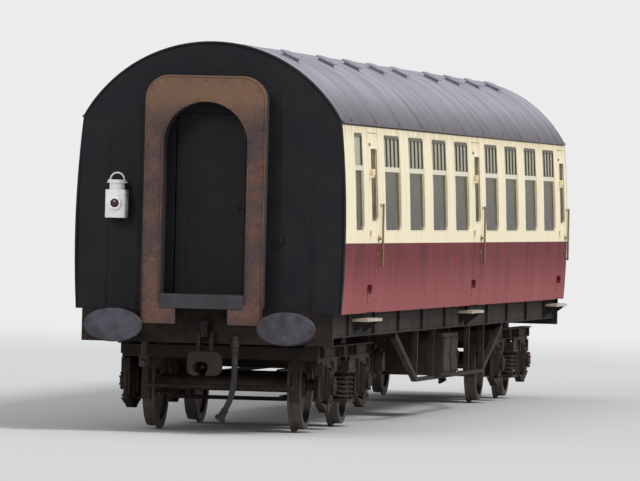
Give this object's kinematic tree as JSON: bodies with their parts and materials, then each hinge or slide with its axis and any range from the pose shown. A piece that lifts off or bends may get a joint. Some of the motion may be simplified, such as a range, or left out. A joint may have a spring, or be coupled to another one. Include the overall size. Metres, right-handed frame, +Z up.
{
  "type": "railway passenger coach",
  "caption": "Bogie passenger coach with an arched roof, side doors, window ventilators, bellows gangways, buffers, drop couplers, trussed underframe and saloon seating.",
  "frame": {"origin": "middle of the coach's plan, at the lowest point of the wheel flanges, 28 mm below rail level", "axes": "+X along the coach, away from the lavatory end, +Y to the left of someone who faces +X, +Z up"},
  "size_m": [20.66, 2.821, 3.9278],
  "materials": {
    "crimson_cream": "gloss enamel, crimson below and cream above, weathered",
    "roof_grey": "matt grey paint, sooted",
    "end_black": "matt black paint, dusty",
    "frame_black": "black paint under brake dust",
    "gangway_rust": "worn brown paint with rust",
    "bellows_cloth": "coated cloth",
    "footplate_steel": "worn tread plate",
    "buffer_steel": "dull steel with old grease",
    "cast_black": "rough casting",
    "wheel_steel": "bright tread, rusty web",
    "clear_glass": "clear",
    "vent_alloy": "satin",
    "wood_floor": "dark linoleum on boards",
    "veneer": "varnished veneer",
    "moquette": "cut pile",
    "table_top": "varnished",
    "rack_steel": "satin",
    "hose_rubber": "ribbed rubber",
    "pipe_iron": "dull",
    "lamp_white": "white enamel",
    "step_wood": "worn bare board"
  },
  "bodies": {
    "coach": {"underframe": "frame_black", "centre_pins": "cast_black", "trusses": "frame_black", "floor": "wood_floor", "bodyside_left": "crimson_cream", "bodyside_right": "crimson_cream", "end_wall_near": "end_black", "end_wall_far": "end_black", "roof": "roof_grey", "roof_ventilators": "roof_grey", "glass_left": "clear_glass", "glass_right": "clear_glass", "window_ventilators": "vent_alloy", "partitions": "veneer", "seats": "moquette", "tables": "table_top", "luggage_racks": "rack_steel", "gangway_bellows": "bellows_cloth", "gangway_faceplates": "gangway_rust", "gangway_footplates": "footplate_steel", "buffer_housings": "frame_black", "buffer_heads": "buffer_steel", "draw_hooks": "cast_black", "underfloor_equipment": "frame_black", "step_boards": "step_wood", "tail_lamp": "lamp_white", "hose_near": "hose_rubber", "hose_far": "hose_rubber", "hose_couplings": "pipe_iron", "end_pipes": "pipe_iron"},
    "bogie_near": {"bogie_near_frame": "frame_black", "bogie_near_bolster": "frame_black", "bogie_near_springs": "frame_black", "bogie_near_axleboxes": "cast_black", "bogie_near_brakes": "cast_black"},
    "coupler_near": {"coupler_head_near": "cast_black"},
    "gangway_door_near": {"end_door_near": "end_black"},
    "wheels_near_outer": {"wheelset_near_outer": "wheel_steel"},
    "wheels_near_inner": {"wheelset_near_inner": "wheel_steel"},
    "bogie_far": {"bogie_far_frame": "frame_black", "bogie_far_bolster": "frame_black", "bogie_far_springs": "frame_black", "bogie_far_axleboxes": "cast_black", "bogie_far_brakes": "cast_black"},
    "coupler_far": {"coupler_head_far": "cast_black"},
    "gangway_door_far": {"end_door_far": "end_black"},
    "wheels_far_outer": {"wheelset_far_outer": "wheel_steel"},
    "wheels_far_inner": {"wheelset_far_inner": "wheel_steel"},
    "side_door_right_1": {"door_right_1": "crimson_cream", "door_right_1_glass": "clear_glass"},
    "side_door_right_2": {"door_right_2": "crimson_cream", "door_right_2_glass": "clear_glass"},
    "side_door_right_3": {"door_right_3": "crimson_cream", "door_right_3_glass": "clear_glass"},
    "side_door_left_1": {"door_left_1": "crimson_cream", "door_left_1_glass": "clear_glass"},
    "side_door_left_2": {"door_left_2": "crimson_cream", "door_left_2_glass": "clear_glass"},
    "side_door_left_3": {"door_left_3": "crimson_cream", "door_left_3_glass": "clear_glass"}
  },
  "joints": [
    {"name": "side_door_right_1_hinge", "type": "hinge", "parent": "coach", "child": "side_door_right_1", "pos_m": [-8.017, -1.3935, 1.5], "axis": [0, 0, -1], "range_deg": [0, 100]},
    {"name": "side_door_right_2_hinge", "type": "hinge", "parent": "coach", "child": "side_door_right_2", "pos_m": [0.473, -1.3935, 1.5], "axis": [0, 0, -1], "range_deg": [0, 100]},
    {"name": "side_door_right_3_hinge", "type": "hinge", "parent": "coach", "child": "side_door_right_3", "pos_m": [8.883, -1.3935, 1.5], "axis": [0, 0, -1], "range_deg": [0, 100]},
    {"name": "side_door_left_1_hinge", "type": "hinge", "parent": "coach", "child": "side_door_left_1", "pos_m": [-7.303, 1.3935, 1.5], "axis": [0, 0, -1], "range_deg": [0, 100]},
    {"name": "side_door_left_2_hinge", "type": "hinge", "parent": "coach", "child": "side_door_left_2", "pos_m": [1.187, 1.3935, 1.5], "axis": [0, 0, -1], "range_deg": [0, 100]},
    {"name": "side_door_left_3_hinge", "type": "hinge", "parent": "coach", "child": "side_door_left_3", "pos_m": [9.597, 1.3935, 1.5], "axis": [0, 0, -1], "range_deg": [0, 100]},
    {"name": "gangway_door_near_hinge", "type": "hinge", "parent": "coach", "child": "gangway_door_near", "pos_m": [-9.732, 0.345, 2], "axis": [0, 0, 1], "range_deg": [0, 90]},
    {"name": "bogie_near_turn", "type": "hinge", "parent": "coach", "child": "bogie_near", "pos_m": [-7.0865, 0, 0.9], "axis": [0, 0, 1], "range_deg": [-4, 4]},
    {"name": "coupler_near_pivot", "type": "hinge", "parent": "coach", "child": "coupler_near", "pos_m": [-9.91, 0, 1.013], "axis": [0, 1, 0], "range_deg": [0, 90]},
    {"name": "wheels_near_outer_spin", "type": "hinge", "parent": "bogie_near", "child": "wheels_near_outer", "pos_m": [-8.382, 0, 0.485], "axis": [0, 1, 0], "continuous": true},
    {"name": "wheels_near_inner_spin", "type": "hinge", "parent": "bogie_near", "child": "wheels_near_inner", "pos_m": [-5.791, 0, 0.485], "axis": [0, 1, 0], "continuous": true},
    {"name": "gangway_door_far_hinge", "type": "hinge", "parent": "coach", "child": "gangway_door_far", "pos_m": [9.732, -0.345, 2], "axis": [0, 0, 1], "range_deg": [0, 90]},
    {"name": "bogie_far_turn", "type": "hinge", "parent": "coach", "child": "bogie_far", "pos_m": [7.0865, 0, 0.9], "axis": [0, 0, 1], "range_deg": [-4, 4]},
    {"name": "coupler_far_pivot", "type": "hinge", "parent": "coach", "child": "coupler_far", "pos_m": [9.91, 0, 1.013], "axis": [0, -1, 0], "range_deg": [0, 90]},
    {"name": "wheels_far_outer_spin", "type": "hinge", "parent": "bogie_far", "child": "wheels_far_outer", "pos_m": [8.382, 0, 0.485], "axis": [0, 1, 0], "continuous": true},
    {"name": "wheels_far_inner_spin", "type": "hinge", "parent": "bogie_far", "child": "wheels_far_inner", "pos_m": [5.791, 0, 0.485], "axis": [0, 1, 0], "continuous": true}
  ]
}
